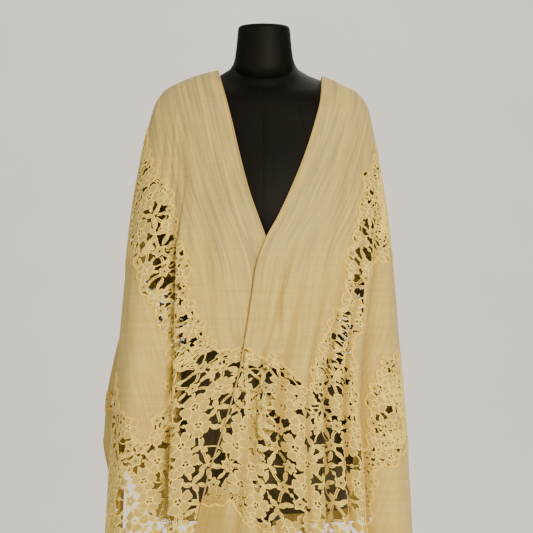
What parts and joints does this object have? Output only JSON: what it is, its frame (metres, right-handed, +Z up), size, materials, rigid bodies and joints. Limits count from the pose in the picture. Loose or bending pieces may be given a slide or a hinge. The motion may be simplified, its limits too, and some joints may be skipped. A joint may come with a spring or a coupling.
{
  "type": "lace shawl on a limbless dress form",
  "caption": "Gauze shawl with lace insets, draped round a dress form with a neck block, on a pole and a round flat base.",
  "frame": {"origin": "on the floor, at the middle of the underside of the round base, under the pole's axis", "axes": "+Z up along the pole, -Y to the front of the form, +X to the viewer's right from the front"},
  "size_m": [0.5867, 0.3431, 1.5],
  "materials": {
    "wool": "fine open wool gauze, cream",
    "lace": "corded lace, honey cream",
    "form_cover": "smooth black jersey, slight sheen",
    "stand_metal": "satin black paint"
  },
  "bodies": {
    "root": {"form_torso": "form_cover", "form_neck": "form_cover", "stand_collar": "stand_metal", "stand_pole": "stand_metal", "stand_base": "stand_metal", "wool_yoke_left": "wool", "wool_yoke_right": "wool", "wool_side_left": "wool", "wool_side_right": "wool", "wool_hem_left": "wool", "wool_hem_right": "wool", "lace_upper_left": "lace", "lace_upper_right": "lace", "lace_lower_left": "lace", "lace_lower_right": "lace"}
  },
  "joints": []
}
